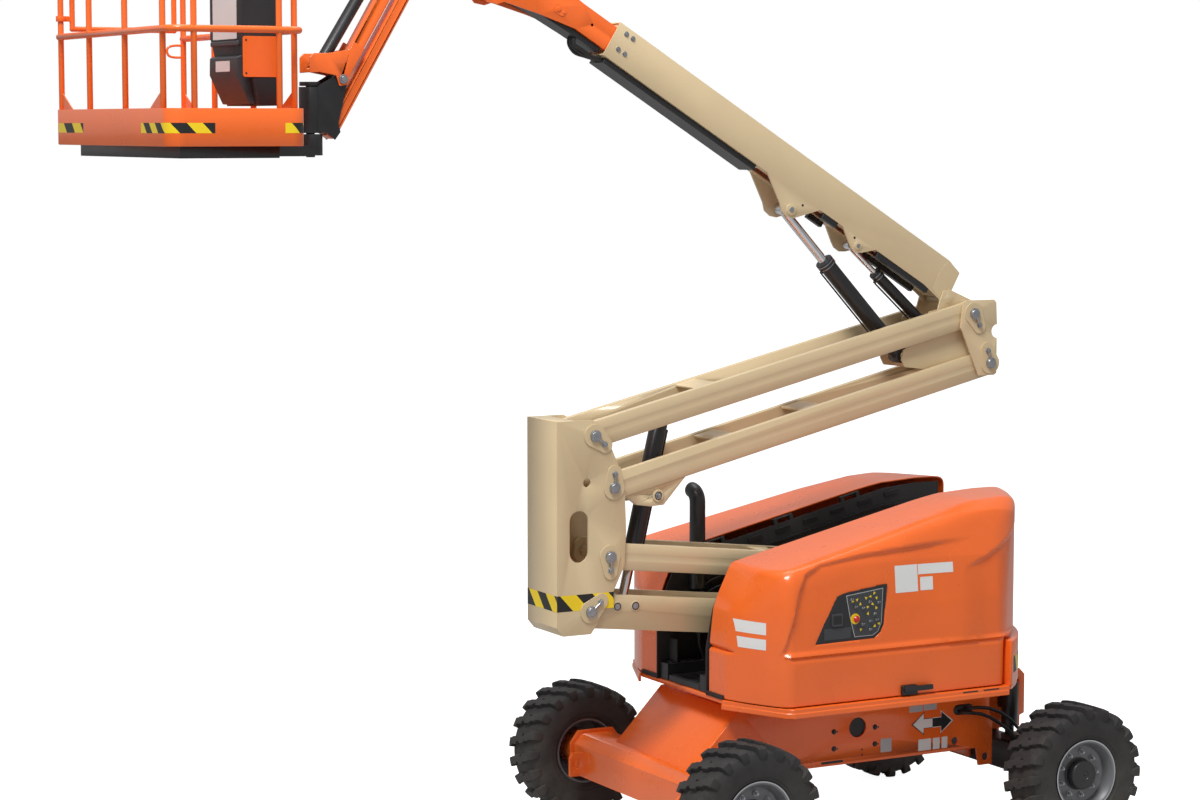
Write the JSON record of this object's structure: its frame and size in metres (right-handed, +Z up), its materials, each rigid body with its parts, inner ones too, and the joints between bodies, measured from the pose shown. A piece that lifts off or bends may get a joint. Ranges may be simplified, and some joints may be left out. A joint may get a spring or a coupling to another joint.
{
  "type": "articulating boom lift",
  "caption": "Self-propelled articulating boom lift with folding tower, telescopic boom, jib and railed work platform on a slewing turntable.",
  "frame": {"origin": "on the ground, in the middle of the whole machine's length and width", "axes": "+X from the platform towards the steered axle, +Y across the machine, +Z up"},
  "size_m": [6.049, 2.335, 5.8362],
  "materials": {
    "orange_paint": "gloss",
    "tan_paint": "gloss",
    "black_paint": "satin",
    "cast_orange": "gloss",
    "bright_rod": "polished",
    "tyre_rubber": "matte",
    "rim_grey": "satin",
    "hose_rubber": "matte",
    "black_plastic": "matte"
  },
  "bodies": {
    "chassis": {"chassis_frame": "orange_paint", "fixed_axle": "orange_paint", "steer_axle": "black_paint", "lockout_cylinders": "black_paint", "slew_ring": "black_paint", "axle_hoses": "hose_rubber"},
    "knuckle_near": {"knuckle_near": "black_paint"},
    "knuckle_far": {"knuckle_far": "black_paint"},
    "tie_rod": {"tie_rod": "bright_rod"},
    "wheel_fixed_near": {"tyre_fixed_near": "tyre_rubber", "rim_fixed_near": "rim_grey"},
    "wheel_fixed_far": {"tyre_fixed_far": "tyre_rubber", "rim_fixed_far": "rim_grey"},
    "wheel_steer_near": {"tyre_steer_near": "tyre_rubber", "rim_steer_near": "rim_grey"},
    "wheel_steer_far": {"tyre_steer_far": "tyre_rubber", "rim_steer_far": "rim_grey"},
    "turntable": {"turntable_base": "orange_paint", "counterweight": "cast_orange", "compartment_walls": "black_paint", "engine": "black_paint", "ground_controls": "black_plastic"},
    "hood_near": {"hood_near": "orange_paint"},
    "hood_far": {"hood_far": "orange_paint"},
    "lower_arm_lower": {"lower_arm_lower": "tan_paint"},
    "lower_arm_upper": {"lower_arm_upper": "tan_paint"},
    "lower_upright": {"lower_upright": "tan_paint"},
    "upper_arm_lower": {"upper_arm_lower": "tan_paint"},
    "upper_arm_upper": {"upper_arm_upper": "tan_paint"},
    "tower_barrel": {"tower_barrel": "black_paint"},
    "tower_rod": {"tower_rod": "bright_rod"},
    "upper_upright": {"upper_upright": "tan_paint"},
    "boom_base": {"boom_base": "tan_paint"},
    "boom_fly": {"boom_fly": "orange_paint"},
    "lift_barrel": {"lift_barrel": "black_paint"},
    "lift_rod": {"lift_rod": "bright_rod"},
    "master_barrel": {"master_barrel": "black_paint"},
    "master_rod": {"master_rod": "bright_rod"},
    "jib_base": {"jib_base": "orange_paint"},
    "level_barrel": {"level_barrel": "black_paint"},
    "level_rod": {"level_rod": "bright_rod"},
    "jib_lower_bar": {"jib_lower_bar": "orange_paint"},
    "jib_upper_bar": {"jib_upper_bar": "orange_paint", "jib_barrel": "black_paint"},
    "jib_rod": {"jib_rod": "bright_rod"},
    "platform_knuckle": {"platform_knuckle": "black_paint"},
    "platform": {"platform_support": "black_paint", "platform_floor": "orange_paint", "platform_rails": "orange_paint", "platform_console": "black_plastic"},
    "gate": {"platform_gate": "orange_paint"}
  },
  "joints": [
    {"name": "wheel_fixed_near", "type": "hinge", "parent": "chassis", "child": "wheel_fixed_near", "pos_m": [0.31846, -1.015, 0.415], "axis": [0, 1, 0], "continuous": true},
    {"name": "wheel_fixed_far", "type": "hinge", "parent": "chassis", "child": "wheel_fixed_far", "pos_m": [0.31846, 1.015, 0.415], "axis": [0, 1, 0], "continuous": true},
    {"name": "steer", "type": "hinge", "parent": "chassis", "child": "knuckle_near", "pos_m": [2.60846, -0.74, 0.415], "axis": [0, 0, 1], "range_deg": [-38, 38]},
    {"name": "steer_far", "type": "hinge", "parent": "chassis", "child": "knuckle_far", "pos_m": [2.60846, 0.74, 0.415], "axis": [0, 0, 1], "range_deg": [-38, 38]},
    {"name": "tie_rod", "type": "slide", "parent": "chassis", "child": "tie_rod", "axis": [0, 1, 0], "range_m": [-0.12, 0.12]},
    {"name": "wheel_steer_near", "type": "hinge", "parent": "knuckle_near", "child": "wheel_steer_near", "pos_m": [2.60846, -1.015, 0.415], "axis": [0, 1, 0], "continuous": true},
    {"name": "wheel_steer_far", "type": "hinge", "parent": "knuckle_far", "child": "wheel_steer_far", "pos_m": [2.60846, 1.015, 0.415], "axis": [0, 1, 0], "continuous": true},
    {"name": "swing", "type": "hinge", "parent": "chassis", "child": "turntable", "pos_m": [1.46347, 0, 0.9], "axis": [0, 0, 1], "range_deg": [-177.5, 177.5]},
    {"name": "hood_near_lid", "type": "hinge", "parent": "turntable", "child": "hood_near", "pos_m": [0.63783, -0.306, 1.71548], "axis": [-0.9759, 0, -0.2183], "range_deg": [0, 60]},
    {"name": "hood_far_lid", "type": "hinge", "parent": "turntable", "child": "hood_far", "pos_m": [0.63783, 0.306, 1.71548], "axis": [0.9759, 0, 0.2183], "range_deg": [0, 60]},
    {"name": "tower_lift", "type": "hinge", "parent": "turntable", "child": "lower_arm_lower", "pos_m": [2.08647, 0, 1.229], "axis": [0, 1, 0], "range_deg": [-10.5, 61.5]},
    {"name": "lower_arm_upper", "type": "hinge", "parent": "turntable", "child": "lower_arm_upper", "pos_m": [2.21346, 0, 1.54], "axis": [0, 1, 0], "range_deg": [-10.5, 61.5]},
    {"name": "lower_upright_level", "type": "hinge", "parent": "lower_arm_lower", "child": "lower_upright", "pos_m": [-0.23353, 0, 1.49333], "axis": [0, -1, 0], "range_deg": [-10.5, 61.5]},
    {"name": "upper_arm_lower", "type": "hinge", "parent": "lower_upright", "child": "upper_arm_lower", "pos_m": [-0.08052, 0, 2.20333], "axis": [0, -1, 0], "range_deg": [-9.5, 55.4]},
    {"name": "upper_arm_upper", "type": "hinge", "parent": "lower_upright", "child": "upper_arm_upper", "pos_m": [-0.20652, 0, 2.51133], "axis": [0, -1, 0], "range_deg": [-9.5, 55.4]},
    {"name": "upper_upright_level", "type": "hinge", "parent": "upper_arm_lower", "child": "upper_upright", "pos_m": [2.56977, 0, 2.82397], "axis": [0, 1, 0], "range_deg": [-9.5, 55.4]},
    {"name": "tower_barrel", "type": "hinge", "parent": "upper_arm_lower", "child": "tower_barrel", "pos_m": [0.22548, 0, 2.13633], "axis": [0, 1, 0], "range_deg": [-9.5, 55.4]},
    {"name": "tower_rod", "type": "slide", "parent": "tower_barrel", "child": "tower_rod", "axis": [-0.2324, 0, -0.9726], "range_m": [-0.11, 0.58]},
    {"name": "boom_lift", "type": "hinge", "parent": "upper_upright", "child": "boom_base", "pos_m": [2.30377, 0, 3.22198], "axis": [0, 1, 0], "range_deg": [-33.5, 43.5]},
    {"name": "lift_barrel", "type": "hinge", "parent": "upper_upright", "child": "lift_barrel", "pos_m": [2.02077, 0, 2.87997], "axis": [0, 1, 0], "range_deg": [-33.5, 43.5]},
    {"name": "lift_rod", "type": "slide", "parent": "lift_barrel", "child": "lift_rod", "axis": [-0.6859, 0, 0.7277], "range_m": [-0.24, 0.31]},
    {"name": "master_barrel", "type": "hinge", "parent": "upper_upright", "child": "master_barrel", "pos_m": [2.16377, 0, 3.09797], "axis": [0, 1, 0], "range_deg": [-33.6, 43.6]},
    {"name": "master_rod", "type": "slide", "parent": "master_barrel", "child": "master_rod", "axis": [-0.7465, 0, 0.6654], "range_m": [-0.11, 0.14]},
    {"name": "telescope", "type": "slide", "parent": "boom_base", "child": "boom_fly", "axis": [-0.8526, 0, 0.5225], "range_m": [0, 1.25]},
    {"name": "jib_base_level", "type": "hinge", "parent": "boom_fly", "child": "jib_base", "pos_m": [-0.79625, 0, 5.03019], "axis": [0, -1, 0], "range_deg": [-33.6, 43.6]},
    {"name": "level_barrel", "type": "hinge", "parent": "boom_fly", "child": "level_barrel", "pos_m": [-0.38736, 0, 4.94147], "axis": [0, 1, 0], "range_deg": [-6, 6]},
    {"name": "level_rod", "type": "slide", "parent": "level_barrel", "child": "level_rod", "axis": [-0.8597, 0, 0.5108], "range_m": [-0.08, 0.1]},
    {"name": "jib_lift", "type": "hinge", "parent": "jib_base", "child": "jib_upper_bar", "pos_m": [-1.07625, 0, 5.60319], "axis": [0, 1, 0], "range_deg": [0, 144]},
    {"name": "jib_lower_bar", "type": "hinge", "parent": "jib_base", "child": "jib_lower_bar", "pos_m": [-1.12925, 0, 5.31519], "axis": [0, 1, 0], "range_deg": [0, 144]},
    {"name": "jib_rod", "type": "slide", "parent": "jib_upper_bar", "child": "jib_rod", "axis": [0.5364, 0, 0.844], "range_m": [-0.37, 0]},
    {"name": "platform_level", "type": "hinge", "parent": "jib_upper_bar", "child": "platform_knuckle", "pos_m": [-1.70747, 0, 4.53587], "axis": [0, -1, 0], "range_deg": [0, 144]},
    {"name": "platform_rotate", "type": "hinge", "parent": "platform_knuckle", "child": "platform", "pos_m": [-1.87146, 0, 4.18087], "axis": [0, 0, 1], "range_deg": [-90, 90]},
    {"name": "gate", "type": "hinge", "parent": "platform", "child": "gate", "pos_m": [-2.99946, 0.835, 4.76887], "axis": [0, 0, -1], "range_deg": [0, 75]}
  ],
  "couplings": [
    {"joint": "steer_far", "follows": "steer", "ratio": 1},
    {"joint": "tie_rod", "follows": "steer", "m_per_rad": 0.158},
    {"joint": "lower_arm_upper", "follows": "tower_lift", "ratio": 1},
    {"joint": "lower_upright_level", "follows": "tower_lift", "ratio": 1},
    {"joint": "upper_arm_lower", "follows": "tower_lift", "ratio": 0.9},
    {"joint": "upper_arm_upper", "follows": "tower_lift", "ratio": 0.9},
    {"joint": "upper_upright_level", "follows": "tower_lift", "ratio": 0.9},
    {"joint": "tower_barrel", "follows": "tower_lift", "ratio": 0.86},
    {"joint": "tower_rod", "follows": "tower_lift", "m_per_rad": 0.525},
    {"joint": "lift_barrel", "follows": "boom_lift", "ratio": 0.94},
    {"joint": "lift_rod", "follows": "boom_lift", "m_per_rad": 0.39},
    {"joint": "master_barrel", "follows": "boom_lift", "ratio": 1},
    {"joint": "master_rod", "follows": "boom_lift", "m_per_rad": 0.17},
    {"joint": "jib_base_level", "follows": "boom_lift", "ratio": 1},
    {"joint": "level_barrel", "follows": "boom_lift", "ratio": -0.1},
    {"joint": "level_rod", "follows": "boom_lift", "m_per_rad": 0.12},
    {"joint": "jib_lower_bar", "follows": "jib_lift", "ratio": 1},
    {"joint": "jib_rod", "follows": "jib_lift", "m_per_rad": -0.143},
    {"joint": "platform_level", "follows": "jib_lift", "ratio": 1}
  ]
}
